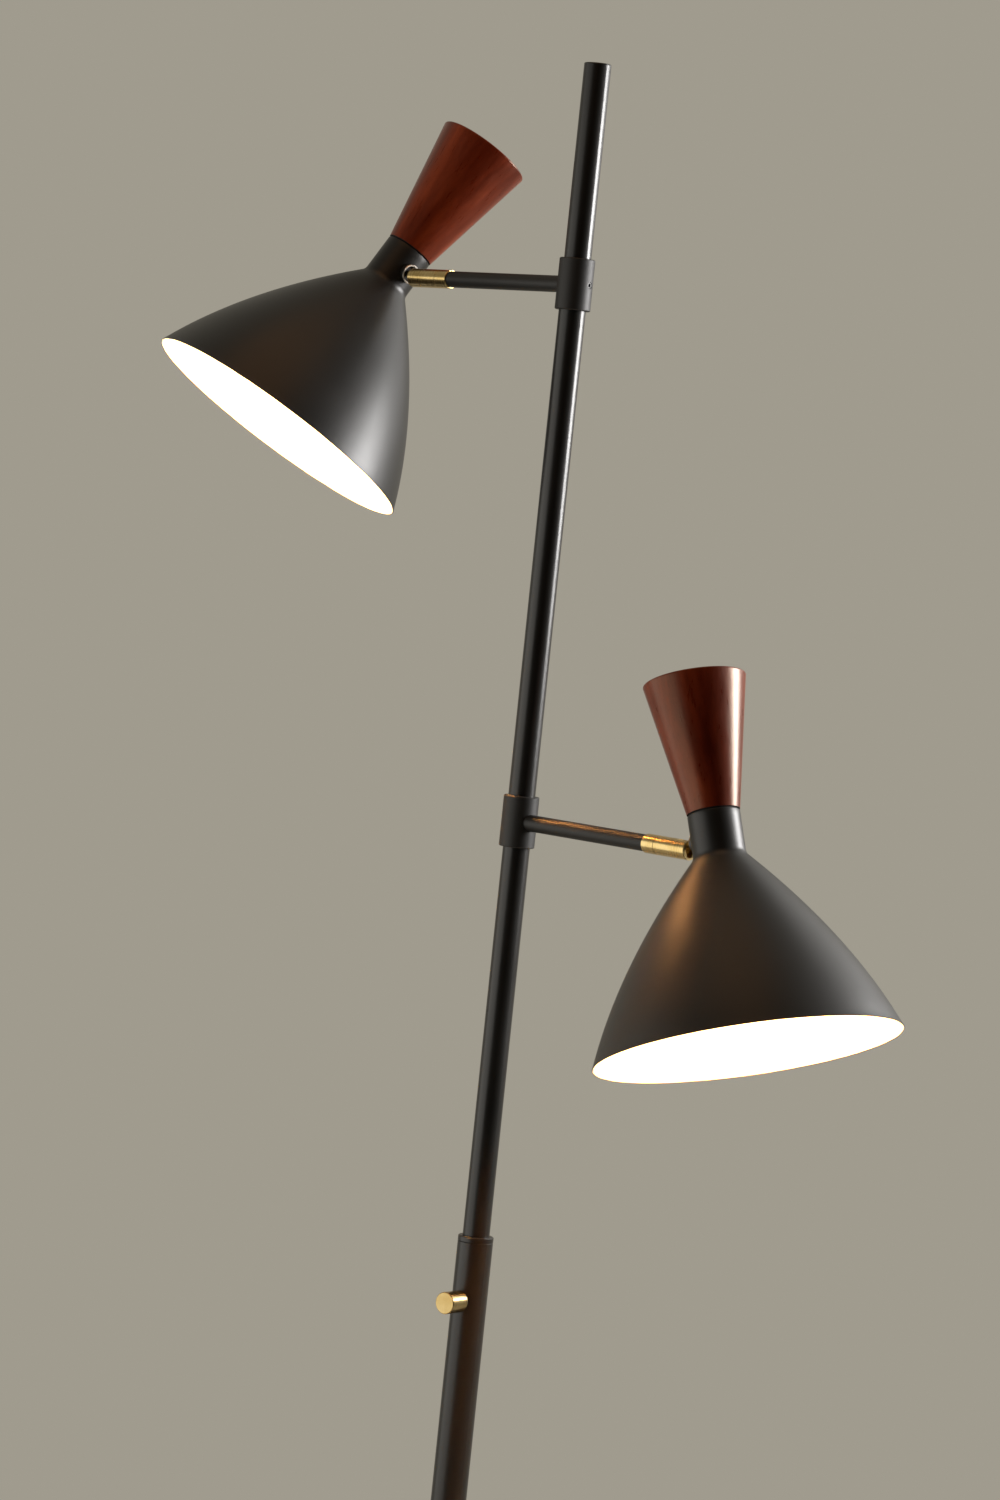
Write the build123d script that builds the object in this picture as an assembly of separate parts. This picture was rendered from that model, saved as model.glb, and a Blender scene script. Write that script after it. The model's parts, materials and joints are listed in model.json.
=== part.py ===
from build123d import *
from math import sqrt
import os

os.makedirs("parts", exist_ok=True)

# Tree floor lamp: one pole, two arms at right angles to it, a swivelling head on each arm.
# Millimetres. The pole's axis is Z, the floor is z = 0, the upper arm points to -X, the lower to +X.

# Overall heights
POLE_TOP = 1651.0
UPPER_ARM_DROP = 153.7          # pole's top down to the upper arm
ARM_SPACING = 376.0
STEP_DROP = 822.6               # pole's top down to where the slim tube begins
UPPER_ARM_Z = POLE_TOP - UPPER_ARM_DROP
LOWER_ARM_Z = UPPER_ARM_Z - ARM_SPACING
STEP_Z = POLE_TOP - STEP_DROP

# Pole
LOWER_R = 12.5
UPPER_R = 9.5
TUBE_WALL = 1.2
LOWER_IR = LOWER_R - TUBE_WALL
UPPER_IR = UPPER_R - TUBE_WALL
REDUCER_RING = 4.0              # visible height of the reducer ring
REDUCER_SPIGOT = 22.0
CAP_HEIGHT = 1.6
SLIP = 0.05                     # radial clearance of fixed and of running round fits

# Base
BASE_R = 135.3
SKIN = 1.0
PAD_H = 2.5
DISC_TOP = 22.5
BASE_TOP = DISC_TOP + SKIN
EDGE_R = 4.0
CORD_R = 3.0
CORD_Z = 9.0

# Lamp pipe thread
PIPE_R = 5.0
PIPE_BORE = 3.3

# Collars and arms
COLLAR_R = 12.5
COLLAR_H = 36.0
ARM_R = 5.85
ARM_WALL = 1.0
ARM_IR = ARM_R - ARM_WALL
SCREW_R = 2.5
SCREW_TURN = 14.5               # set screw's angle from the line of the arms, degrees

# Swivel; its places along the arm count from the pole's axis
SWIVEL_R = 6.7
SWIVEL_BASE_LEN = 11.8
SEAM_GAP = 0.2
SEAM_EDGE = 0.12
BEARING_LEN = 8.9               # fork on its stub
CLIP_T = 0.8
CLIP_ROOM = 0.1
STUB_R = 4.0
STUB_END = 1.4                  # stub past its clip groove
EYE_ROOM = 2.5                  # free room between the eye and the fork's round bore
TIP_PAST_PIN = 7.5
CAVITY_R = 5.2
TONGUE_T = 5.0                  # thickness of the tongue along the pin
CHEEK_GAP = 0.1
EYE_R = 4.2
STEM_R = 2.4
PIN_R = 1.5
BORE_LEN = 5.2                  # round bore behind the slot, for the clip
BASE_START = 132.4
SEAM = BASE_START + SWIVEL_BASE_LEN
SLOT_START = SEAM + BEARING_LEN + BORE_LEN
PIVOT = SLOT_START + EYE_ROOM + EYE_R + 2.0
TIP = PIVOT + TIP_PAST_PIN

# Head, heights from the mouth of the shade
MOUTH_R = 104.2
NECK_R = 17.85
BELL_TOP = 130.6
BELL_FLARE = 1.05               # bell's top radius past the neck's
BELL_SLOPE = 0.395              # of the bell at its mouth, radius to height
NECK_BOTTOM = BELL_TOP + 3.6
NECK_TOP = NECK_BOTTOM + 27.3
SHEET = 1.1
LIP = 1.2
WOOD_LEN = 93.0
WOOD_TOP = NECK_TOP + WOOD_LEN
WOOD_R0 = NECK_R
WOOD_R1 = 35.2
SHADOW_GAP = 0.9                # height of the groove between neck and wood
SHADOW_DEPTH = 1.1
NECK_IR = NECK_R - SHEET
FOOT_R = 7.0
FOOT_FACE = NECK_R + 2.8
FOOT_RIM = 1.2
FOOT_RECESS = 2.4
HOLE_Z = NECK_BOTTOM + 11.3     # swivel height on the neck
NECK_OFFSET = FOOT_FACE + 13.15   # neck axis to swivel pin
STUD_R = 4.45
WOOD_SCREW_R = 1.9
WOOD_SCREW_Y = 11.0
PLATE_T = 1.8

# Lamp holder and bulb, heights down from the holder's top
HOLDER_TOP = NECK_TOP - 45.0
HOLDER_R = 18.5
HOLDER_IR = 14.2
HOLDER_LEN = 36.5
HOLDER_ROOF = 8.5
SHELL_T = 0.7
CAP_R = HOLDER_IR - SLIP - SHELL_T - 0.2
CAP_LEN = 24.2
DOME_R = 24.0
DOME_T = 1.2
DOME_DROP = 68.5                # holder's top to the dome's centre

# Rest angles of the heads: roll about the arm, lean of the wood end towards the pole
UPPER_ROLL, UPPER_LEAN = 29.4, 12.55
LOWER_ROLL, LOWER_LEAN = 0.6, 20.95

# Rotary switch
KNOB_Z = STEP_Z - 45.7
KNOB_TURN = -76.0               # direction of its axis around the pole, degrees
KNOB_R = 7.75
KNOB_START = LOWER_R + 0.6
KNOB_END = KNOB_START + 17.3
KNOB_HOLLOW_R = 6.9             # room for the nut
KNOB_HOLLOW = 2.7
NUT_R = 6.3
SHAFT_R = 3.0
BUSH_R = 5.0
CABLE_R = 2.2
CABLE_OFF = 5.0

made = {}


def keep(name, solid, place=None):
    """Store a node, one valid solid, in its final place."""
    solids = solid.solids()
    assert len(solids) == 1, (name, len(solids))
    body = solids[0]
    assert body.is_valid, name
    made[name] = body if place is None else place * body


def rod(r, z0, z1):
    """Solid cylinder standing on the Z axis, from z0 to z1."""
    return Pos(0, 0, (z0 + z1) / 2) * Cylinder(r, z1 - z0)


def tube(ro, ri, z0, z1):
    return rod(ro, z0, z1) - rod(ri, z0 - 1, z1 + 1)


def rod_x(r, x0, x1):
    """Solid cylinder lying on the X axis, from x0 to x1."""
    return Rot(0, 90, 0) * rod(r, x0, x1)


def tube_x(ro, ri, x0, x1):
    return Rot(0, 90, 0) * tube(ro, ri, x0, x1)


def turned(points):
    """Solid of revolution from a closed (radius, height) outline."""
    wire = Polyline(*[(r, 0, z) for r, z in points], close=True)
    return revolve(make_face(wire), Axis.Z)


def hexagon(across_flats, z0, z1):
    face = RegularPolygon(across_flats / 2, 6, major_radius=False)
    return Pos(0, 0, z0) * extrude(face, z1 - z0, dir=(0, 0, 1))


def at_angle(deg):
    return Rot(0, 0, deg)


def build_base():
    keep("base_pad", rod(BASE_R - 5, 0, PAD_H))

    weight_r = BASE_R - SKIN - 0.3
    recess_r, recess_top = 22.0, 12.5
    weight = turned([(0, PAD_H), (weight_r - 1.5, PAD_H), (weight_r, PAD_H + 1.5),
                     (weight_r, DISC_TOP - 4.2), (weight_r - 1.3, DISC_TOP - 1.3),
                     (weight_r - 4.2, DISC_TOP), (0, DISC_TOP)])
    weight -= rod(recess_r, PAD_H - 1, recess_top)
    weight -= rod(PIPE_R + SLIP, 0, DISC_TOP + 1)
    channel_h = CORD_Z + CORD_R + 1.8
    weight -= Pos(0, weight_r / 2 + 5, channel_h / 2) * Box(2 * CORD_R + 3.6, weight_r + 10, channel_h)
    keep("base_weight", weight)
    return recess_top


def build_cover():
    z0 = PAD_H + 0.5
    shell = rod(BASE_R, z0, BASE_TOP)
    shell = fillet(shell.edges().sort_by(Axis.Z)[-1], EDGE_R)
    inside = rod(BASE_R - SKIN, z0 - 1, DISC_TOP)
    inside = fillet(inside.edges().sort_by(Axis.Z)[-1], EDGE_R - SKIN)
    shell -= inside
    shell -= rod(PIPE_R + SLIP, 0, BASE_TOP + 1)
    shell -= Pos(0, BASE_R, CORD_Z) * Rot(90, 0, 0) * Cylinder(CORD_R + 1.55, 12)
    keep("base_cover", shell)

    gland = rod(CORD_R + 1.5, BASE_R - 6, BASE_R + 1) + rod(CORD_R + 3, BASE_R, BASE_R + 2.2)
    gland = fillet(gland.edges().group_by(Axis.Z)[-1], 0.8)
    gland -= rod(CORD_R, BASE_R - 10, BASE_R + 5)
    keep("cord_gland", gland, Pos(0, 0, CORD_Z) * Rot(-90, 0, 0))


def build_clamp(recess_top):
    nut = hexagon(17, recess_top - 5, recess_top - 0.5) + rod(11, recess_top - 1.5, recess_top)
    nut -= rod(PIPE_R + SLIP, 0, 40)
    keep("base_nut", nut)
    keep("base_stem", tube(PIPE_R, PIPE_BORE, recess_top - 6.5, BASE_TOP + 24))
    plug = tube(LOWER_IR - SLIP, PIPE_R + SLIP, BASE_TOP, BASE_TOP + 26)
    plug = chamfer(plug.edges().group_by(Axis.Z)[-1], 0.6)
    keep("foot_plug", plug)
    ring = rod(17.5, BASE_TOP, BASE_TOP + 11)
    ring = fillet(ring.edges().sort_by(Axis.Z)[-1], 2.5) - rod(LOWER_R + SLIP, 0, 60)
    keep("foot_ring", ring)


def build_pole():
    seat = STEP_Z - REDUCER_RING
    lower = tube(LOWER_R, LOWER_IR, BASE_TOP, seat)
    lower = chamfer(lower.edges().group_by(Axis.Z)[-1].sort_by(SortBy.LENGTH)[-1], 0.35)
    to_knob = at_angle(KNOB_TURN)
    lower -= Pos(0, 0, KNOB_Z) * to_knob * rod_x(BUSH_R + SLIP, 5, 20)
    keep("lower_tube", lower)

    ring = rod(LOWER_R, seat, STEP_Z)
    ring = chamfer(ring.edges().sort_by(Axis.Z)[-1], 0.6)
    ring = chamfer(ring.edges().sort_by(Axis.Z)[0], 0.35)
    ring += rod(LOWER_IR - SLIP, seat - REDUCER_SPIGOT, seat + 1)
    ring -= rod(UPPER_IR, seat - 40, STEP_Z + 1)
    ring -= rod(UPPER_R + SLIP, seat - REDUCER_SPIGOT + 3, STEP_Z + 1)
    keep("reducer_ring", ring)

    cap_seat = POLE_TOP - CAP_HEIGHT
    upper = tube(UPPER_R, UPPER_IR, seat - REDUCER_SPIGOT + 3, cap_seat)
    for z, side in ((UPPER_ARM_Z, 180), (LOWER_ARM_Z, 0)):
        upper -= Pos(0, 0, z) * at_angle(side) * rod_x(ARM_IR, 5, 20)
    keep("upper_tube", upper)

    cap = rod(UPPER_R, cap_seat, POLE_TOP)
    cap = fillet(cap.edges().sort_by(Axis.Z)[-1], 0.9)
    cap += rod(UPPER_IR - SLIP, cap_seat - 9, cap_seat + 0.5)
    keep("top_cap", cap)


def build_cable():
    """Wires in the pole, from the base stem past the switch to the upper arm."""
    low, bend_low, bend_high, high = 14.0, BASE_TOP + 40, BASE_TOP + 140, UPPER_ARM_Z - 12
    off = -CABLE_OFF
    start = Line((0, 0, low), (0, 0, bend_low))
    out = TangentArc((0, 0, bend_low), (off / 2, 0, (bend_low + bend_high) / 2), tangent=(0, 0, 1))
    back = TangentArc(out @ 1, (off, 0, bend_high), tangent=out % 1)
    rise = Line((off, 0, bend_high), (off, 0, high))
    path = Wire([piece.edge() for piece in (start, out, back, rise)])
    section = Plane.XY.offset(low) * Circle(CABLE_R)
    keep("riser_cable", sweep(section, path=path), at_angle(KNOB_TURN))


def build_switch():
    place = Pos(0, 0, KNOB_Z) * at_angle(KNOB_TURN)
    body = Pos(-0.5, 0, 0) * Box(17, 15, 20)
    body &= rod(LOWER_IR - 0.1, -20, 20)
    body = chamfer(body.edges().filter_by(Axis.Y), 0.8)
    nut_end = LOWER_R + 2.3
    body += rod_x(BUSH_R, 5, nut_end + 0.4)
    body -= rod_x(SHAFT_R + SLIP, 2, 40)
    body -= Pos(-CABLE_OFF, 0, 0) * Cylinder(CABLE_R + SLIP, 40)
    keep("switch_body", body, place)

    nut = rod_x(NUT_R, LOWER_R - 2, nut_end)
    nut -= rod_x(BUSH_R + SLIP, 0, 40)
    nut -= rod(LOWER_R, -20, 20)
    keep("switch_nut", nut, place)

    shaft = rod_x(SHAFT_R, 3, KNOB_END - 4)
    shaft -= Pos(KNOB_END - 9, 0, SHAFT_R + 0.2) * Box(16, 10, 2)
    keep("switch_shaft", shaft, place)

    knob = rod_x(KNOB_R, KNOB_START, KNOB_END)
    knob = chamfer(knob.edges().sort_by(Axis.X)[-1], 0.5)
    knob = chamfer(knob.edges().sort_by(Axis.X)[0], 0.3)
    bore = rod_x(SHAFT_R + SLIP, 0, KNOB_END - 3.9)
    bore -= Pos(KNOB_END - 9, 0, SHAFT_R + 0.25) * Box(16, 10, 2)
    knob -= rod_x(KNOB_HOLLOW_R, 0, KNOB_START + KNOB_HOLLOW)
    keep("knob", knob - bore, place)


def arm_frame(z, side):
    """Frame on the pole axis: X along the arm, Z up."""
    return Pos(0, 0, z) * at_angle(side)


def build_arm(name, z, side):
    place = arm_frame(z, side)
    collar = rod(COLLAR_R, -COLLAR_H / 2, COLLAR_H / 2)
    collar = chamfer(collar.edges(), 0.6)
    collar -= rod(UPPER_R + SLIP, -40, 40)
    collar -= rod_x(ARM_IR, 5, 20)
    to_screw = at_angle(180 + SCREW_TURN)
    collar -= to_screw * rod_x(SCREW_R + SLIP, 5, 20)
    keep(name + "_collar", collar, place)

    screw = rod_x(SCREW_R, UPPER_R, COLLAR_R - 0.4)
    screw = chamfer(screw.edges().sort_by(Axis.X)[-1], 0.25)
    socket = Pos(COLLAR_R - 2.0, 0, 0) * Rot(0, 90, 0) * hexagon(2.5, 0, 3)
    keep(name + "_set_screw", screw - socket, place * to_screw)

    nipple = tube_x(ARM_IR - SLIP, PIPE_BORE - 0.3, UPPER_IR + 0.4, 36)
    keep(name + "_arm_nipple", nipple, place)

    arm = tube_x(ARM_R, ARM_IR, 5, BASE_START) - rod(COLLAR_R, -40, 40)
    arm = arm.solids().sort_by(SortBy.VOLUME)[-1]
    keep(name + "_arm_tube", arm, place)

    base = rod_x(SWIVEL_R, BASE_START, SEAM)
    base = chamfer(base.edges().sort_by(Axis.X)[0], 0.25)
    base = chamfer(base.edges().sort_by(Axis.X)[-1], SEAM_EDGE)
    base += rod_x(ARM_IR - SLIP, BASE_START - 16, BASE_START + 1)
    groove = SEAM + BEARING_LEN + 0.15
    groove_end = groove + CLIP_T + 2 * CLIP_ROOM
    base += rod_x(STUB_R, SEAM - 1, groove_end + STUB_END)
    base -= tube_x(STUB_R + 1, STUB_R - 0.6, groove, groove_end)
    base -= rod_x(2.2, 0, 200)
    keep(name + "_swivel_base", base, place)

    clip = tube_x(CAVITY_R - 0.35, STUB_R - 0.55, groove + CLIP_ROOM, groove + CLIP_ROOM + CLIP_T)
    clip -= Pos(groove, 0, 5) * Box(4, 5.4, 10)
    keep(name + "_swivel_clip", clip, place)


def roll_frame(z, side, roll):
    """Arm frame turned about the arm so that its Z is the head's upright direction."""
    sign = 1 if side == 180 else -1
    return arm_frame(z, side) * Rot(sign * roll, 0, 0)


def build_fork(name, z, side, roll):
    place = roll_frame(z, side, roll)
    start = SEAM + SEAM_GAP
    fork = rod_x(SWIVEL_R, start, TIP)
    fork = chamfer(fork.edges().sort_by(Axis.X)[0], SEAM_EDGE)
    fork = chamfer(fork.edges().sort_by(Axis.X)[-1], 0.35)
    fork -= rod_x(STUB_R + SLIP, start - 1, TIP)
    slot_w = TONGUE_T + 2 * CHEEK_GAP
    fork -= rod_x(CAVITY_R, SEAM + BEARING_LEN, SLOT_START)
    slot = Pos((SLOT_START + TIP) / 2, 0, 0) * Box(TIP - SLOT_START + 4, slot_w, 4 * SWIVEL_R)
    fork -= slot & rod_x(CAVITY_R, SLOT_START - 1, TIP + 1)
    back = PIVOT - STEM_R - 0.4
    fork -= Pos((back + TIP + 2) / 2, 0, SWIVEL_R) * Box(TIP + 2 - back, slot_w, 2 * SWIVEL_R)
    pin = Pos(PIVOT, 0, 0) * Rot(90, 0, 0) * Cylinder(PIN_R, 4 * SWIVEL_R)
    keep(name + "_swivel_fork", fork - pin, place)
    keep(name + "_swivel_pin", pin & rod_x(SWIVEL_R, SLOT_START, TIP), place)


def head_frame(z, side, roll, lean):
    """Frame at the mouth's centre: Z to the wood end, X to the swivel."""
    tilt = roll_frame(z, side, roll) * Pos(PIVOT, 0, 0) * Rot(0, -lean, 0)
    return tilt * Rot(0, 0, 180) * Pos(-NECK_OFFSET, 0, -HOLE_Z)


BELL_BEND = (MOUTH_R - NECK_R - BELL_FLARE - BELL_SLOPE * BELL_TOP) / BELL_TOP**2


def bell_radius(z):
    return MOUTH_R - BELL_SLOPE * z - BELL_BEND * z * z


def bell_point(z, inset=0.0):
    """Point on the bell's outer line, or that far inside it, square to the sheet."""
    slope = BELL_SLOPE + 2 * BELL_BEND * z
    n = sqrt(1 + slope * slope)
    return (bell_radius(z) - inset / n, 0, z - inset * slope / n)


def shade_solid():
    mid = BELL_TOP * 0.53
    rim = 1.04 * SHEET
    inner_top = bell_point(BELL_TOP, SHEET)
    edges = [
        Line((MOUTH_R - rim, 0, 0), (MOUTH_R, 0, 0)),
        ThreePointArc((MOUTH_R, 0, 0), bell_point(mid), bell_point(BELL_TOP)),
        ThreePointArc(bell_point(BELL_TOP), (NECK_R + 0.35, 0, (BELL_TOP + NECK_BOTTOM) / 2 - 0.2),
                      (NECK_R, 0, NECK_BOTTOM)),
        Line((NECK_R, 0, NECK_BOTTOM), (NECK_R, 0, NECK_TOP - 0.5)),
        Line((NECK_R, 0, NECK_TOP - 0.5), (NECK_R - 0.5, 0, NECK_TOP)),
        Line((NECK_R - 0.5, 0, NECK_TOP), (7, 0, NECK_TOP)),
        Line((7, 0, NECK_TOP), (7, 0, NECK_TOP - LIP)),
        Line((7, 0, NECK_TOP - LIP), (NECK_IR, 0, NECK_TOP - LIP)),
        Line((NECK_IR, 0, NECK_TOP - LIP), (NECK_IR, 0, NECK_BOTTOM - 0.6)),
        Line((NECK_IR, 0, NECK_BOTTOM - 0.6), inner_top),
        ThreePointArc(inner_top, bell_point(mid, SHEET), (MOUTH_R - rim, 0, 0)),
    ]
    shade = revolve(make_face(Wire([e.edge() for e in edges])), Axis.Z)
    shade -= Pos(0, 0, HOLE_Z) * rod_x(STUD_R + SLIP, NECK_IR - 6, NECK_R + 7)
    for y in (-WOOD_SCREW_Y, WOOD_SCREW_Y):
        shade -= Pos(0, y, 0) * rod(WOOD_SCREW_R + 0.2, NECK_TOP - 5, NECK_TOP + 5)
    return shade


def wood_solid():
    bore_r, bore_top = 6.5, NECK_TOP + 7
    slope = (WOOD_R1 - WOOD_R0) / (WOOD_TOP - NECK_TOP)
    step = NECK_TOP + SHADOW_GAP
    pts = [(bore_r, NECK_TOP), (WOOD_R0 - SHADOW_DEPTH, NECK_TOP), (WOOD_R0 - SHADOW_DEPTH, step),
           (WOOD_R0 - 0.3, step), (WOOD_R0 + (SHADOW_GAP + 0.3) * slope, step + 0.3),
           (WOOD_R1, WOOD_TOP), (0, WOOD_TOP), (0, bore_top), (bore_r, bore_top)]
    wood = turned(pts)
    rim = wood.edges().filter_by(GeomType.CIRCLE).group_by(Axis.Z)[-1].sort_by(SortBy.LENGTH)[-1]
    wood = fillet(rim, 1.8)
    for y in (-WOOD_SCREW_Y, WOOD_SCREW_Y):
        wood -= Pos(0, y, 0) * rod(WOOD_SCREW_R + SLIP, NECK_TOP - 1, NECK_TOP + 17)
    return wood


def tongue_solid():
    """Swivel tongue: stud in the neck wall, cupped round foot, stem and eye."""
    foot = rod_x(FOOT_R, NECK_IR - 6.8, FOOT_FACE)
    foot = chamfer(foot.edges().sort_by(Axis.X)[-1], 0.35)
    foot -= rod_x(FOOT_R - FOOT_RIM, FOOT_FACE - FOOT_RECESS, FOOT_FACE + 5)
    foot = Pos(0, 0, HOLE_Z) * foot - rod(NECK_R, HOLE_Z - 20, HOLE_Z + 20)
    stem = rod_x(STUD_R, NECK_IR - 7, FOOT_FACE - FOOT_RECESS - 0.1)
    stem += rod_x(STEM_R, NECK_IR, NECK_OFFSET - 2.5)
    stem += Pos(NECK_OFFSET, 0, 0) * Rot(90, 0, 0) * Cylinder(EYE_R, TONGUE_T)
    stem -= Pos(NECK_OFFSET, 0, 0) * Rot(90, 0, 0) * Cylinder(PIN_R + SLIP, TONGUE_T + 2)
    return foot + Pos(0, 0, HOLE_Z) * stem


def build_head(name, z, side, roll, lean):
    place = head_frame(z, side, roll, lean)
    keep(name + "_shade", shade_solid(), place)
    keep(name + "_wood_cone", wood_solid(), place)
    keep(name + "_swivel_tongue", tongue_solid(), place)

    nut = Rot(0, 90, 0) * hexagon(12, NECK_IR - 5.2, NECK_IR + 1) - rod_x(STUD_R + SLIP, 0, NECK_R + 9)
    nut = Pos(0, 0, HOLE_Z) * nut & rod(NECK_IR, HOLE_Z - 20, HOLE_Z + 20)
    keep(name + "_tongue_nut", nut, place)

    plate_top = NECK_TOP - LIP
    plate_bottom = plate_top - PLATE_T
    plate = tube(NECK_IR - 0.3, PIPE_R + SLIP, plate_bottom, plate_top)
    for i, y in enumerate((-WOOD_SCREW_Y, WOOD_SCREW_Y), 1):
        plate -= Pos(0, y, 0) * rod(WOOD_SCREW_R + 0.2, plate_top - 5, plate_top + 5)
        screw = rod(WOOD_SCREW_R, plate_bottom - 0.2, plate_top + 16)
        head = rod(3.6, plate_bottom - 2, plate_bottom)
        head = fillet(head.edges().sort_by(Axis.Z)[0], 0.9)
        head -= Pos(0, 0, plate_bottom - 2) * Box(1.0, 9, 1.6)
        keep(f"{name}_wood_screw_{i}", Pos(0, y, 0) * (screw + head), place)
    keep(name + "_neck_plate", plate, place)
    keep(name + "_head_nipple", tube(PIPE_R, PIPE_BORE, HOLDER_TOP - 4.5, NECK_TOP + 5), place)
    build_lamp(name, place)


def build_lamp(name, place):
    """Lamp holder with its screw shell, and a bulb in it: cap, body and dome."""
    roof = HOLDER_TOP - HOLDER_ROOF
    rim = HOLDER_TOP - HOLDER_LEN
    hole = PIPE_R + SLIP
    holder = turned([(hole, HOLDER_TOP), (hole + 4, HOLDER_TOP), (HOLDER_R, HOLDER_TOP - 6),
                     (HOLDER_R, rim + 1), (HOLDER_R - 0.8, rim), (HOLDER_IR, rim), (HOLDER_IR, roof),
                     (hole, roof)])
    keep(name + "_lamp_holder", holder, place)
    shell_r, shell_top = HOLDER_IR - SLIP, roof - 0.1
    shell = turned([(shell_r, rim + 2), (shell_r, shell_top), (4, shell_top), (4, shell_top - SHELL_T),
                    (shell_r - SHELL_T, shell_top - SHELL_T), (shell_r - SHELL_T, rim + 2)])
    keep(name + "_screw_shell", shell, place)

    tip = shell_top - SHELL_T - 0.1
    cap_end = tip - CAP_LEN
    threads = [(0, tip), (4, tip), (4.5, tip - 1), (9, tip - 1.8), (CAP_R - 0.6, tip - 3.2)]
    for i in range(5):
        top = tip - 4.2 - 3.6 * i
        threads += [(CAP_R, top), (CAP_R - 0.7, top - 1.8)]
    threads += [(CAP_R, cap_end + 1.5), (CAP_R, cap_end), (0, cap_end)]
    keep(name + "_bulb_cap", turned(threads), place)

    centre = HOLDER_TOP - DOME_DROP
    rim_z = centre + 9.2
    neck_z = rim - 1.5
    inner_r = sqrt(DOME_R**2 - 9.0**2) - 1.6
    body = turned([(0, cap_end), (CAP_R, cap_end), (CAP_R, neck_z + 1), (CAP_R + 2.3, neck_z),
                   (DOME_R - 1.5, rim_z + 2.8), (DOME_R - 1.5, rim_z), (inner_r, rim_z),
                   (inner_r, rim_z - 3.2), (0, rim_z - 3.2)])
    keep(name + "_bulb_body", body, place)
    dome = Pos(0, 0, centre) * (Sphere(DOME_R) - Sphere(DOME_R - DOME_T))
    dome -= rod(2 * DOME_R, centre + 9, centre + 2 * DOME_R)
    keep(name + "_bulb_dome", dome, place)


recess_top = build_base()
build_cover()
build_clamp(recess_top)
build_pole()
build_cable()
build_switch()
for arm_name, arm_z, arm_side, head_roll, head_lean in (
        ("upper", UPPER_ARM_Z, 180, UPPER_ROLL, UPPER_LEAN),
        ("lower", LOWER_ARM_Z, 0, LOWER_ROLL, LOWER_LEAN)):
    build_arm(arm_name, arm_z, arm_side)
    build_fork(arm_name, arm_z, arm_side, head_roll)
    build_head(arm_name, arm_z, arm_side, head_roll, head_lean)

for node, solid in made.items():
    export_step(solid, f"parts/{node}.step")
print(len(made), "nodes")
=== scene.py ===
import json
from collections import namedtuple
from math import cos, hypot, pi, radians, sin

import bpy
from mathutils import Matrix, Vector


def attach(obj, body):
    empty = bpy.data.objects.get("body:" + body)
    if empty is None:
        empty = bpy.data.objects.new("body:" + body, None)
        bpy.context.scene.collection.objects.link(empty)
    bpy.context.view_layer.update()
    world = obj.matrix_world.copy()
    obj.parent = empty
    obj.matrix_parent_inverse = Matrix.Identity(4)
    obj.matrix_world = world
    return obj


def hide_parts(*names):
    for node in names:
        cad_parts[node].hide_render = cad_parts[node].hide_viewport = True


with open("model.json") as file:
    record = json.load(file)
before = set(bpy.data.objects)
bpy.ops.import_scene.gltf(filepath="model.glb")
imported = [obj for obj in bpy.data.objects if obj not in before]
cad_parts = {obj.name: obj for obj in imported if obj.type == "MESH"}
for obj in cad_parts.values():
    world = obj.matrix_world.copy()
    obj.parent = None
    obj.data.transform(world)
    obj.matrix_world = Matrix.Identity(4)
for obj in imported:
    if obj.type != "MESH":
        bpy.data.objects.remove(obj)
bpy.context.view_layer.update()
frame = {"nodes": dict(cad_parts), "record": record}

# A tree floor lamp with two tilting heads. Sizes of the lamp are in millimetres, and MM turns them into
# the scene's metres. Sizes of the room, lights and surface grain are in metres. Angles are in degrees.
MM = 0.001

# Pole: heights of the arms, the seam and the knob, and the way the knob points round it
POLE_TOP = 1651.0
UPPER_ARM_Z = POLE_TOP - 153.7
LOWER_ARM_Z = UPPER_ARM_Z - 376.0
SEAM_Z = POLE_TOP - 822.6
KNOB_Z, KNOB_TURN = SEAM_Z - 45.7, -76.0

# Heads at rest: the arm's height and side, the roll about the arm and the lean on the cross pin
Head = namedtuple("Head", "arm_z side roll lean")
HEADS = {
    "upper": Head(UPPER_ARM_Z, side=180, roll=29.4, lean=12.55),
    "lower": Head(LOWER_ARM_Z, side=0, roll=-0.6, lean=20.95),
}
# The cross pin is PIVOT from the pole's axis, HOLE_Z above the mouth and NECK_OFFSET from the head's axis.
PIVOT = 167.0
HOLE_Z, NECK_OFFSET = 145.5, 33.8

# Shade: heights go up from the mouth. The bell's radius falls as MOUTH_R - SLOPE z - BEND z^2.
MOUTH_R, NECK_R = 104.2, 17.85
SHEET, LIP = 1.1, 1.2
BELL_TOP, BELL_FLARE, BELL_SLOPE = 130.6, 1.05, 0.395
BELL_BEND = (MOUTH_R - NECK_R - BELL_FLARE - BELL_SLOPE * BELL_TOP) / BELL_TOP**2
BELL_STEPS = 44
NECK_BOTTOM = BELL_TOP + 3.6
NECK_TOP = NECK_BOTTOM + 27.3
NECK_HOLE_R, NECK_EDGE, NECK_BAND = NECK_R - 5, 0.5, 4
# Points of the blend from bell to neck: how far beyond the neck's radius, how far above the bell
BLEND = (0.42, 1.4), (0.1, 2.6)
INSIDE_BLEND = 0.5

# Wood cone on the neck, with a groove round its foot
WOOD_TOP, WOOD_TOP_R, WOOD_EDGE = NECK_TOP + 93.0, 35.2, 1.1
WOOD_CHAMFER, WOOD_TUCK = 0.3, 0.2
GROOVE_WIDTH, GROOVE_DEPTH = 0.9, 1.1
WOOD_STEPS, TOP_RINGS = 12, (0.75, 0.5, 0.25)

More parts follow.
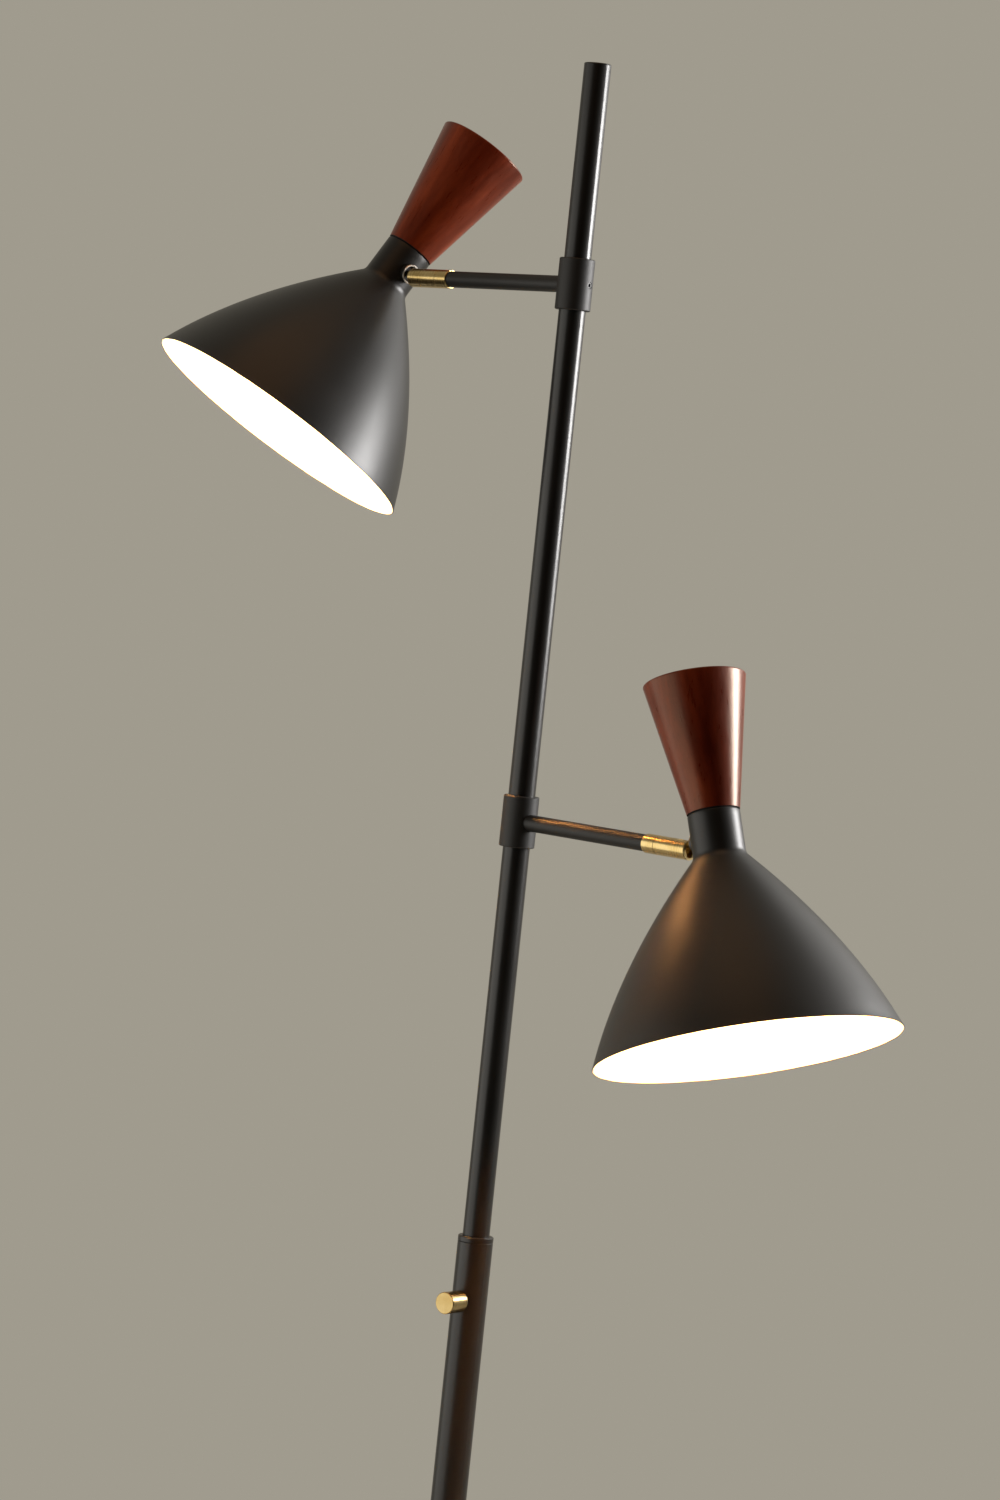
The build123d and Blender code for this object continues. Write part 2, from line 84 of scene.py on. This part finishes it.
# Swivel tongue, measured out from the head's axis: stud, cupped foot, stem and eye
STUD_R, STUD_END = 4.45, 9.75
FOOT_R, FOOT_SEAT, FOOT_FACE = 7.0, NECK_R - 1.45, 20.65
FOOT_RIM, FOOT_RECESS, FOOT_EDGE = 1.2, 2.4, 0.35
STEM_R, STEM_END = 2.4, NECK_OFFSET - 2.5
EYE_R, EYE_T, EYE_BORE, EYE_EDGE = 4.2, 5.0, 1.55, 0.25

# Opal dome of the bulb: a bowl that opens upward, its edge DOME_EDGE degrees above level
DOME_R, DOME_T, DOME_Z, DOME_EDGE = 24.0, 1.2, 48.0, 22.0
DOME_STEPS = 28

# Turned meshes
RING_STEPS = 160
SHARP_ANGLE = 35
ON_AXIS = 1e-6


def shift(x=0, y=0, z=0):
    return Matrix.Translation((x, y, z))


def spin(angle, axis):
    return Matrix.Rotation(radians(angle), 4, axis)


def head_matrix(head):
    """Frame of a head, in mm: origin in the middle of the shade's mouth, Z up the head's axis."""
    turn = spin(head.side, "Z") @ spin(head.roll, "X")
    tilt = spin(-head.lean, "Y") @ spin(180, "Z")
    pin = shift(z=head.arm_z) @ turn @ shift(x=PIVOT)
    return pin @ tilt @ shift(x=-NECK_OFFSET, z=-HOLE_Z)


def along_x(z, turn=0):
    """Frame in mm on the pole's axis, its Z axis level and turned from X by turn."""
    return shift(z=z) @ spin(turn, "Z") @ spin(90, "Y")


def to_metres(matrix):
    metric = matrix.copy()
    metric.translation = matrix.translation * MM
    return metric


# Node trees

class Nodes:
    """A node tree, with short ways to add what the finishes, the floor and the world are made of."""

    def __init__(self, tree):
        self.tree = tree

    def feed(self, socket, value):
        """Links an output to a socket, or sets the socket. A colour is three numbers."""
        if isinstance(value, bpy.types.NodeSocket):
            self.tree.links.new(value, socket)
        elif value is not None:
            socket.default_value = (*value, 1) if socket.type == "RGBA" else value

    def add(self, kind, *inputs, **settings):
        """Adds a node and feeds its inputs in order. None leaves an input as it is."""
        node = self.tree.nodes.new(kind)
        for key, value in settings.items():
            setattr(node, key, value)
        for socket, value in zip(node.inputs, inputs):
            self.feed(socket, value)
        return node

    def math(self, operation, a, b):
        return self.add("ShaderNodeMath", a, b, operation=operation).outputs[0]

    def length(self, vector):
        return self.add("ShaderNodeVectorMath", vector, operation="LENGTH").outputs["Value"]

    def spread(self, value, low, high, new_low, new_high):
        """Takes the range from low to high to a new one, and holds what lies outside at its ends."""
        return self.add("ShaderNodeMapRange", value, low, high, new_low, new_high).outputs["Result"]

    def place(self, matrix=None, stretch=(1, 1, 1)):
        """Coordinates in metres, in the frame of matrix with each axis divided by its stretch."""
        where = self.add("ShaderNodeTexCoord").outputs["Object"]
        if matrix is None:
            return where
        return self.add("ShaderNodeMapping", where, matrix.to_translation(), matrix.to_euler(), stretch,
                        vector_type="TEXTURE").outputs["Vector"]

    def turned(self, matrix):
        """Coordinates (distance from the Z axis of matrix, 0, height), so noise on them runs in rings."""
        x, y, z = self.add("ShaderNodeSeparateXYZ", self.place(matrix)).outputs
        flat = self.add("ShaderNodeCombineXYZ", x, y).outputs[0]
        return self.add("ShaderNodeCombineXYZ", self.length(flat), None, z).outputs[0]

    def noise(self, where, scale, detail, roughness=0.5, distortion=0.0):
        node = self.add("ShaderNodeTexNoise", where)
        node.inputs["Scale"].default_value = scale
        node.inputs["Detail"].default_value = detail
        node.inputs["Roughness"].default_value = roughness
        node.inputs["Distortion"].default_value = distortion
        return node.outputs["Fac"]

    def ramp(self, value, *stops):
        """Colour by value, from stops of (value, colour)."""
        node = self.add("ShaderNodeValToRGB", value)
        elements = node.color_ramp.elements
        while len(elements) < len(stops):
            elements.new(0.5)
        for element, (position, colour) in zip(elements, stops):
            element.position = position
            element.color = (*colour, 1)
        return node.outputs["Color"]

    def multiply(self, amount, a, b):
        """Colour a times colour b, as far as amount says."""
        node = self.add("ShaderNodeMix", data_type="RGBA", blend_type="MULTIPLY")
        for number, value in ((0, amount), (6, a), (7, b)):
            self.feed(node.inputs[number], value)
        return node.outputs[2]

    def bump(self, height, strength, distance, under=None):
        """Normal from a height. It adds to the normal given as under."""
        node = self.add("ShaderNodeBump")
        values = {"Strength": strength, "Distance": distance, "Height": height, "Normal": under}
        for key, value in values.items():
            self.feed(node.inputs[key], value)
        return node.outputs["Normal"]

    def seen(self):
        """1 on the rays that show a thing to the viewer, straight, in a gloss or through glass."""
        path = self.add("ShaderNodeLightPath").outputs
        gloss_or_glass = self.math("MAXIMUM", path["Is Glossy Ray"], path["Is Transmission Ray"])
        return self.math("MAXIMUM", path["Is Camera Ray"], gloss_or_glass)


class Surface(Nodes):
    """The node tree of a new material, with its Principled shader."""

    def __init__(self, name):
        self.material = bpy.data.materials.new(name)
        self.material.use_nodes = True
        super().__init__(self.material.node_tree)
        self.shader = self.tree.nodes["Principled BSDF"]

    def plug(self, **values):
        """Feeds the shader's inputs by name, with _ for each space."""
        for key, value in values.items():
            self.feed(self.shader.inputs[key.replace("_", " ")], value)


# Finishes: depths of the surface grain, and colours
BUMP, FINE_BUMP = 0.0001, 0.00005
BLACK, BLACK_LIGHT = (0.0085, 0.0078, 0.0066), (0.0115, 0.0105, 0.009)
BRASS_DARK, BRASS_LIGHT = (0.60, 0.43, 0.17), (0.72, 0.55, 0.26)
# The knob's brass is the same brass at three quarters of its brightness: painted shade on the knob
SHADED_KNOB_DARK, SHADED_KNOB_LIGHT = (0.45, 0.32, 0.125), (0.54, 0.41, 0.195)
WOOD_DARK, WOOD_RED, WOOD_LIGHT = (0.092, 0.0095, 0.0025), (0.165, 0.020, 0.005), (0.27, 0.042, 0.011)
OPAL, OPAL_LIGHT = (0.92, 0.90, 0.86), (0.96, 0.94, 0.90)
WHITE = (1, 1, 1)


def coat(name, rough, grain):
    """Black powder coat: fine orange peel, faint cloudy change of colour and gloss."""
    m = Surface(name)
    where = m.place()
    cloud = m.noise(where, 14, 4)
    m.plug(
        Base_Color=m.ramp(cloud, (0.3, BLACK), (0.75, BLACK_LIGHT)),
        Roughness=m.spread(cloud, 0.25, 0.75, rough - 0.035, rough + 0.035),
        Normal=m.bump(m.noise(where, 1900, 2), grain, BUMP),
    )
    return m.material


def plain(name, dark, light, rough, metal=0.0, scale=60, grain_scale=1500, grain=0.08):
    """A moulded, drawn or cast surface: two close tones, uneven gloss and a fine grain."""
    m = Surface(name)
    where = m.place()
    tone = m.noise(where, scale, 5)
    m.plug(
        Metallic=metal,
        Base_Color=m.ramp(tone, (0.3, dark), (0.7, light)),
        Roughness=m.spread(tone, 0.25, 0.75, rough - 0.05, rough + 0.05),
        Normal=m.bump(m.noise(where, grain_scale, 2), grain, BUMP),
    )
    return m.material


def brushed(name, dark, light, rough, matrix, grooves=0.04):
    """Turned and brushed metal: fine rings about the Z axis of matrix."""
    m = Surface(name)
    lines = m.noise(m.turned(to_metres(matrix)), 4200, 3, 0.6)
    tone = m.ramp(m.noise(m.place(), 90, 3), (0.3, dark), (0.7, light))
    shadow = m.ramp(lines, (0.3, (0.6, 0.57, 0.52)), (0.65, WHITE))
    m.plug(
        Metallic=1.0,
        Base_Color=m.multiply(0.08, tone, shadow),
        Roughness=m.spread(lines, 0.3, 0.7, rough - 0.03, rough + 0.03),
        Normal=m.bump(lines, grooves, FINE_BUMP),
    )
    return m.material


def wood(name, matrix, rough=0.26, gloss=0.5):
    """Red-brown stained wood in satin lacquer, its grain along the Z axis of matrix."""
    m = Surface(name)
    along = m.place(to_metres(matrix), (1, 1, 11))
    broad = m.noise(along, 42, 4, 0.55, 0.6)
    streak = m.noise(along, 260, 4, 0.6, 0.2)
    pores = m.noise(m.place(to_metres(matrix), (1, 1, 26)), 1300, 2)
    colour = m.ramp(broad, (0.30, WOOD_DARK), (0.5, WOOD_RED), (0.70, WOOD_LIGHT))
    colour = m.multiply(0.35, colour, m.ramp(streak, (0.3, (0.5, 0.4, 0.34)), (0.62, WHITE)))
    colour = m.multiply(0.35, colour, m.ramp(pores, (0.3, (0.4, 0.3, 0.26)), (0.42, WHITE)))
    m.plug(
        Specular_IOR_Level=gloss,
        Specular_Tint=(1.0, 0.76, 0.54),
        Base_Color=colour,
        Roughness=m.spread(streak, 0.3, 0.7, rough, rough + 0.1),
        Normal=m.bump(m.noise(m.place(), 800, 3, 0.6), 0.55, BUMP, m.bump(pores, 0.12, BUMP)),
    )
    return m.material


def glowing(name, colour, strength):
    """Slightly cloudy opal, lit from inside."""
    m = Surface(name)
    cloud = m.noise(m.place(), 120, 3)
    lighter = tuple(min(1, c * 1.03) for c in colour)
    m.plug(
        Roughness=0.35,
        Base_Color=m.ramp(cloud, (0.3, OPAL), (0.7, OPAL_LIGHT)),
        Emission_Strength=strength,
        Emission_Color=m.ramp(cloud, (0.3, colour), (0.7, lighter)),
    )
    return m.material


MATERIALS = {
    "black_coat": coat("black coat", 0.34, 0.10),
    "matt_coat": coat("matt coat", 0.53, 0.35),
    "shade_coat": coat("shade coat", 0.40, 0.28),
    "cast_iron": plain("cast iron", (0.07, 0.068, 0.065), (0.12, 0.118, 0.112), 0.7, 0.3, 80, 700, 0.5),
    "foot_pad": plain("foot pad", (0.03, 0.03, 0.03), (0.05, 0.05, 0.048), 0.9, 0, 90, 900, 0.5),
    "gland_rubber": plain("gland rubber", (0.02, 0.02, 0.02), (0.032, 0.031, 0.03), 0.65),
    "wire_sleeve": plain("wire sleeve", (0.025, 0.025, 0.024), (0.04, 0.04, 0.038), 0.6),
    "black_plastic": plain("black plastic", (0.02, 0.02, 0.02), (0.032, 0.032, 0.03), 0.45),
    "holder_plastic": plain("holder plastic", (0.74, 0.72, 0.66), (0.82, 0.80, 0.74), 0.35),
    "shell_brass": plain("shell brass", (0.62, 0.47, 0.25), (0.75, 0.60, 0.35), 0.3, 1),
    "bulb_cap_metal": plain("bulb cap", (0.62, 0.62, 0.61), (0.78, 0.78, 0.77), 0.28, 1),
    "bulb_plastic": plain("bulb plastic", (0.86, 0.86, 0.83), (0.92, 0.92, 0.89), 0.4),
    "black_screw": plain("black screw", (0.009, 0.009, 0.009), (0.016, 0.015, 0.015), 0.5),
    "plated_steel": plain("plated steel", (0.48, 0.48, 0.46), (0.64, 0.64, 0.62), 0.34, 1),
}
BRASS = {
    "upper": brushed("upper brass", BRASS_DARK, BRASS_LIGHT, 0.27, along_x(UPPER_ARM_Z)),
    "lower": brushed("lower brass", BRASS_DARK, BRASS_LIGHT, 0.27, along_x(LOWER_ARM_Z)),
    # The knob gets the darker copy of the brass: painted shade
    "knob": brushed("shaded knob brass", SHADED_KNOB_DARK, SHADED_KNOB_LIGHT, 0.25, along_x(KNOB_Z, KNOB_TURN), 0.5),
}
ENAMEL = plain("white enamel", (0.80, 0.79, 0.76), (0.86, 0.85, 0.82), 0.45, 0, 30, 1200, 0.06)
BARE_RIM = plain("bare rim", (0.92, 0.84, 0.74), (0.97, 0.90, 0.81), 0.3, 1, 300, 2500, 0.05)
# Near-black painted shade, laid on the wood cone's groove and inside the tongue's cupped foot
PAINTED_SHADE_RECESS = plain("painted shade recess", (0.006, 0.004, 0.003), (0.011, 0.008, 0.006), 0.75, 0, 300, 2500, 0.1)
LIT_OPAL = glowing("lit opal", (1.0, 0.43, 0.13), 430.0)


def dress(obj, material):
    obj.data.materials.clear()
    obj.data.materials.append(material)


# The solids that stay in view: arms and collars are duller than the pole, and each brass piece is brushed
# about its own axis.
for part in frame["record"]["subparts"]:
    node, finish = part["node"], part["material_slot"]
    if node.endswith(("_arm_tube", "_collar")):
        finish = "matt_coat"
    if finish in MATERIALS:
        dress(frame["nodes"][node], MATERIALS[finish])
    elif finish == "satin_brass":
        dress(frame["nodes"][node], BRASS[node.split("_")[0]])


# Turned pieces, which stand for the shades, cones, domes and tongues

def rows(finish, points):
    """Rows of a profile, (radius, height, finish): the finish is that of the stretch up to the point."""
    return [(radius, height, finish) for radius, height in points]


def lathe(name, profile, matrix, finishes):
    """Turns the rows of a closed profile about Z and sets the piece in place by matrix, all in mm.

    finishes holds the material for each finish in the rows."""
    verts, rings = [], []
    for radius, height, _ in profile:
        if radius < ON_AXIS:
            rings.append([len(verts)])
            verts.append(Vector((0, 0, height)))
            continue
        rings.append(range(len(verts), len(verts) + RING_STEPS))
        for i in range(RING_STEPS):
            angle = 2 * pi * i / RING_STEPS
            verts.append(Vector((radius * cos(angle), radius * sin(angle), height)))

    numbers = {finish: number for number, finish in enumerate(finishes)}
    faces, marks = [], []
    for low, high, (_, _, finish) in zip(rings, rings[1:], profile[1:]):
        if len(low) == len(high) == 1:
            continue
        for i in range(RING_STEPS):
            j = (i + 1) % RING_STEPS
            if len(low) == 1:
                faces.append((low[0], high[j], high[i]))
            elif len(high) == 1:
                faces.append((low[i], low[j], high[0]))
            else:
                faces.append((low[i], low[j], high[j], high[i]))
            marks.append(numbers[finish])

    mesh = bpy.data.meshes.new(name)
    mesh.from_pydata([(matrix @ v) * MM for v in verts], [], faces)
    for polygon, mark in zip(mesh.polygons, marks):
        polygon.material_index = mark
        polygon.use_smooth = True
    mesh.set_sharp_from_angle(angle=radians(SHARP_ANGLE))
    for material in finishes.values():
        mesh.materials.append(material)
    mesh.update()
    obj = bpy.data.objects.new(name, mesh)
    bpy.context.scene.collection.objects.link(obj)
    return obj


def arc(centre, radius, start, end, steps):
    """Points of an arc in the profile's plane."""
    points = []
    for i in range(steps + 1):
        angle = radians(start + (end - start) * i / steps)
        points.append((centre[0] + radius * cos(angle), centre[1] + radius * sin(angle)))
    return points


def bell(z, inset=0.0):
    """Point of the bell at height z, moved inward square to the sheet by inset."""
    radius = MOUTH_R - BELL_SLOPE * z - BELL_BEND * z * z
    slope = BELL_SLOPE + 2 * BELL_BEND * z
    length = hypot(1, slope)
    return radius - inset / length, z - inset * slope / length


def shade_profile():
    """From the mouth's rounded rim up the outside, over the neck's lip, and down the inside."""
    half = SHEET / 2
    radius, height = bell(0, half)
    rim = arc((radius, height + half), half, 180, 360, 4)
    heights = [BELL_TOP * i / BELL_STEPS for i in range(1, BELL_STEPS + 1)]
    blend = [(NECK_R + beyond, BELL_TOP + above) for beyond, above in BLEND]
    neck = [(NECK_R, NECK_BOTTOM), (NECK_R, NECK_TOP - NECK_BAND)]
    edge = arc((NECK_R - NECK_EDGE, NECK_TOP - NECK_EDGE), NECK_EDGE, 0, 90, 4)
    lip = [(NECK_HOLE_R, NECK_TOP), (NECK_HOLE_R, NECK_TOP - LIP)]
    outside = rim[4:] + [bell(z) for z in heights] + blend + neck + edge + lip
    inside = [(NECK_R - SHEET, NECK_TOP - LIP), (NECK_R - SHEET, NECK_BOTTOM - INSIDE_BLEND)]
    inside += [bell(z, SHEET) for z in reversed(heights)] + rim[:1]
    return rows("inside", rim[:4]) + rows("outside", outside) + rows("inside", inside)


def wood_profile():
    """From the groove up the cone's side, round its edge and in over the flat top."""
    groove_r, foot = NECK_R - GROOVE_DEPTH, NECK_TOP + GROOVE_WIDTH
    groove = [(0, NECK_TOP), (groove_r, NECK_TOP), (groove_r, foot), (NECK_R - WOOD_CHAMFER, foot),
              (NECK_R + WOOD_TUCK, foot + WOOD_CHAMFER)]
    wider, taller = WOOD_TOP_R - NECK_R, WOOD_TOP - NECK_TOP
    side = [(NECK_R + wider * i / WOOD_STEPS, NECK_TOP + taller * i / WOOD_STEPS)
            for i in range(1, WOOD_STEPS)]
    edge = arc((WOOD_TOP_R - WOOD_EDGE - WOOD_TUCK, WOOD_TOP - WOOD_EDGE), WOOD_EDGE, -10, 90, 6)
    top = [(WOOD_TOP_R * share, WOOD_TOP) for share in TOP_RINGS] + [(0, WOOD_TOP)]
    return rows("groove", groove) + rows("side", side + edge) + rows("top", top)


def foot_profile():
    """Stud, cupped foot and stem of the swivel's tongue."""
    lip, recess = FOOT_R - FOOT_RIM, FOOT_FACE - FOOT_RECESS
    profile = rows("brass", [(0, STUD_END), (STUD_R, STUD_END), (STUD_R, FOOT_SEAT)])
    profile += rows("side", [(FOOT_R, FOOT_SEAT), (FOOT_R, FOOT_FACE - FOOT_EDGE)])
    profile += rows("rim", [(FOOT_R - FOOT_EDGE, FOOT_FACE), (lip, FOOT_FACE)])
    profile += rows("cup", [(lip, recess), (STEM_R, recess)])
    return profile + rows("brass", [(STEM_R, STEM_END), (0, STEM_END)])


def eye_profile():
    """Ring at the tongue's end that turns on the cross pin."""
    half, flat = EYE_T / 2, EYE_R - EYE_EDGE
    points = [(EYE_BORE, -half), (flat, -half), (EYE_R, EYE_EDGE - half), (EYE_R, half - EYE_EDGE),
              (flat, half), (EYE_BORE, half)]
    return rows("brass", points + points[:1])


def dome_profile():
    """Down the inside of the bowl to its bottom and up the outside."""
    inside = arc((0, DOME_Z), DOME_R - DOME_T, DOME_EDGE, -90, DOME_STEPS)
    outside = arc((0, DOME_Z), DOME_R, -90, DOME_EDGE, DOME_STEPS)
    return rows("opal", inside + outside + inside[:1])


for name, head in HEADS.items():
    matrix = head_matrix(head)
    body = name + "_head"

    shade_finishes = {"outside": MATERIALS["shade_coat"], "inside": ENAMEL}
    shade = lathe(name + "_spun_shade", shade_profile(), matrix, shade_finishes)
    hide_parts(name + "_shade")

    cone_finishes = {
        "side": wood(name + " wood", matrix),
        # The groove is coloured near-black: painted shade in the gap
        "groove": PAINTED_SHADE_RECESS,
        "top": wood(name + " end grain", matrix, 0.55, 0.15),
    }
    cone = lathe(name + "_turned_wood", wood_profile(), matrix, cone_finishes)
    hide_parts(name + "_wood_cone")

    dome = lathe(name + "_lit_dome", dome_profile(), matrix, {"opal": LIT_OPAL})
    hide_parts(name + "_bulb_dome")

    hole = matrix @ shift(z=HOLE_Z)
    foot_finishes = {
        "side": MATERIALS["black_coat"],
        "rim": BARE_RIM,
        # The cup's inside is coloured near-black: painted shade in the recess
        "cup": PAINTED_SHADE_RECESS,
        "brass": BRASS[name],
    }
    foot = lathe(name + "_cupped_foot", foot_profile(), hole @ spin(90, "Y"), foot_finishes)
    pin = hole @ shift(x=NECK_OFFSET) @ spin(90, "X")
    eye = lathe(name + "_tongue_eye", eye_profile(), pin, {"brass": BRASS[name]})
    for piece in (foot, eye):
        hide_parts(name + "_swivel_tongue")
    for piece in (shade, cone, dome, foot, eye):
        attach(piece, body)


# Camera, fitted to the photograph: its place, the directions it calls right, up and forward, and its lens
CAMERA_PLACE = Vector((2.4669, -2.2079, 1.3173))
RIGHT = Vector((0.6557, 0.7479, 0.1032))
UP = Vector((-0.1016, -0.0480, 0.9937))
FORWARD = Vector((-0.7481, 0.6620, -0.0446))
LENS, SENSOR = 113.82, 36.0

# The room about the lamp's middle. SIDE and NEAR are level, to the viewer's right and toward the viewer.
SIDE = Vector((RIGHT.x, RIGHT.y, 0)).normalized()
NEAR = Vector((-FORWARD.x, -FORWARD.y, 0)).normalized()
MIDDLE = Vector((0, 0, 1.25))
WALL, FILL = (0.352, 0.328, 0.271), (0.30, 0.28, 0.25)
WALL_AZIMUTH, WALL_HEIGHT, WALL_REACH = 180, 10, 0.7
FLOOR = (0.46, 0.43, 0.37)
FLOOR_R, FLOOR_Z = 2.6, -0.0005
FADE_START, FADE_END = 0.7, 1.9


def from_camera(right, up, near):
    """A place given as the photograph's viewer sees it from the lamp's middle."""
    return MIDDLE + SIDE * right + NEAR * near + Vector((0, 0, up))


def toward(azimuth, height):
    """A direction: azimuth from the viewer round to the viewer's right, height above level."""
    a, h = radians(azimuth), radians(height)
    return (SIDE * sin(a) + NEAR * cos(a)) * cos(h) + Vector((0, 0, sin(h)))


def floor():
    """Pale floor that passes into the wall's colour away from the lamp, so no edge shows."""
    m = Surface("pale floor")
    where = m.place()
    lighter = tuple(c * 1.04 for c in FLOOR)
    m.plug(Roughness=0.8, Base_Color=m.ramp(m.noise(where, 2.5, 4), (0.3, FLOOR), (0.7, lighter)))
    faded = m.math("MULTIPLY", m.seen(), m.spread(m.length(where), FADE_START, FADE_END, 0, 1))
    wall = m.add("ShaderNodeEmission", WALL).outputs[0]
    both = m.add("ShaderNodeMixShader", faded, m.shader.outputs[0], wall).outputs[0]
    m.feed(m.tree.nodes["Material Output"].inputs["Surface"], both)
    bpy.ops.mesh.primitive_circle_add(
        vertices=128, radius=FLOOR_R, fill_type="NGON", location=(0, 0, FLOOR_Z))
    obj = bpy.context.object
    obj.name = "studio_floor"
    dress(obj, m.material)


def surroundings():
    """World: the pale wall behind and beside the lamp, a dark room on the viewer's side.

    The camera sees the wall's plain colour all round. Gloss and glass see it where the wall stands, and the
    soft fill comes from there too."""
    world = bpy.data.worlds.new("studio")
    bpy.context.scene.world = world
    world.use_nodes = True
    world.node_tree.nodes.clear()
    n = Nodes(world.node_tree)
    where = n.add("ShaderNodeTexCoord").outputs["Generated"]
    facing = n.add("ShaderNodeVectorMath", where, toward(WALL_AZIMUTH, WALL_HEIGHT), operation="DOT_PRODUCT")
    wall = n.spread(facing.outputs["Value"], -WALL_REACH, WALL_REACH, 0, 1)
    straight = n.add("ShaderNodeLightPath").outputs["Is Camera Ray"]
    shown = n.add("ShaderNodeBackground", WALL, n.math("MAXIMUM", straight, wall))
    fill = n.add("ShaderNodeBackground", FILL, wall)
    both = n.add("ShaderNodeMixShader", n.seen(), fill.outputs[0], shown.outputs[0])
    n.add("ShaderNodeOutputWorld", both.outputs[0])


def area(name, place, size, energy, colour):
    """Rectangular light aimed at the lamp's middle, hidden from the camera."""
    light = bpy.data.lights.new(name, "AREA")
    light.shape = "RECTANGLE"
    light.size, light.size_y = size
    light.energy = energy
    light.color = colour
    obj = bpy.data.objects.new(name, light)
    bpy.context.scene.collection.objects.link(obj)
    obj.location = place
    obj.rotation_euler = (MIDDLE - place).to_track_quat("-Z", "Y").to_euler()
    obj.visible_camera = False


def camera():
    data = bpy.data.cameras.new("camera")
    data.lens = LENS
    data.sensor_width = SENSOR
    obj = bpy.data.objects.new("camera", data)
    bpy.context.scene.collection.objects.link(obj)
    axes = Matrix((RIGHT, UP, -FORWARD)).transposed().to_4x4()
    obj.matrix_world = Matrix.Translation(CAMERA_PLACE) @ axes
    bpy.context.scene.camera = obj


floor()
surroundings()
# Lights: place, size in metres, watts and colour
area("key", from_camera(1.5, 0.32, -0.27), (0.6, 0.6), 38, (1.0, 0.98, 0.97))
area("right", from_camera(1.3, 1.0, -1.1), (1.3, 1.5), 7, (1.0, 0.99, 0.98))
area("left", from_camera(-2.05, -0.3, 0.55), (3.0, 1.8), 24, (1.0, 0.97, 0.90))
area("above", from_camera(-0.15, 1.05, 0.3), (0.9, 0.9), 1.6, (1.0, 0.49, 0.20))
camera()
bpy.context.scene.view_settings.view_transform = "Standard"
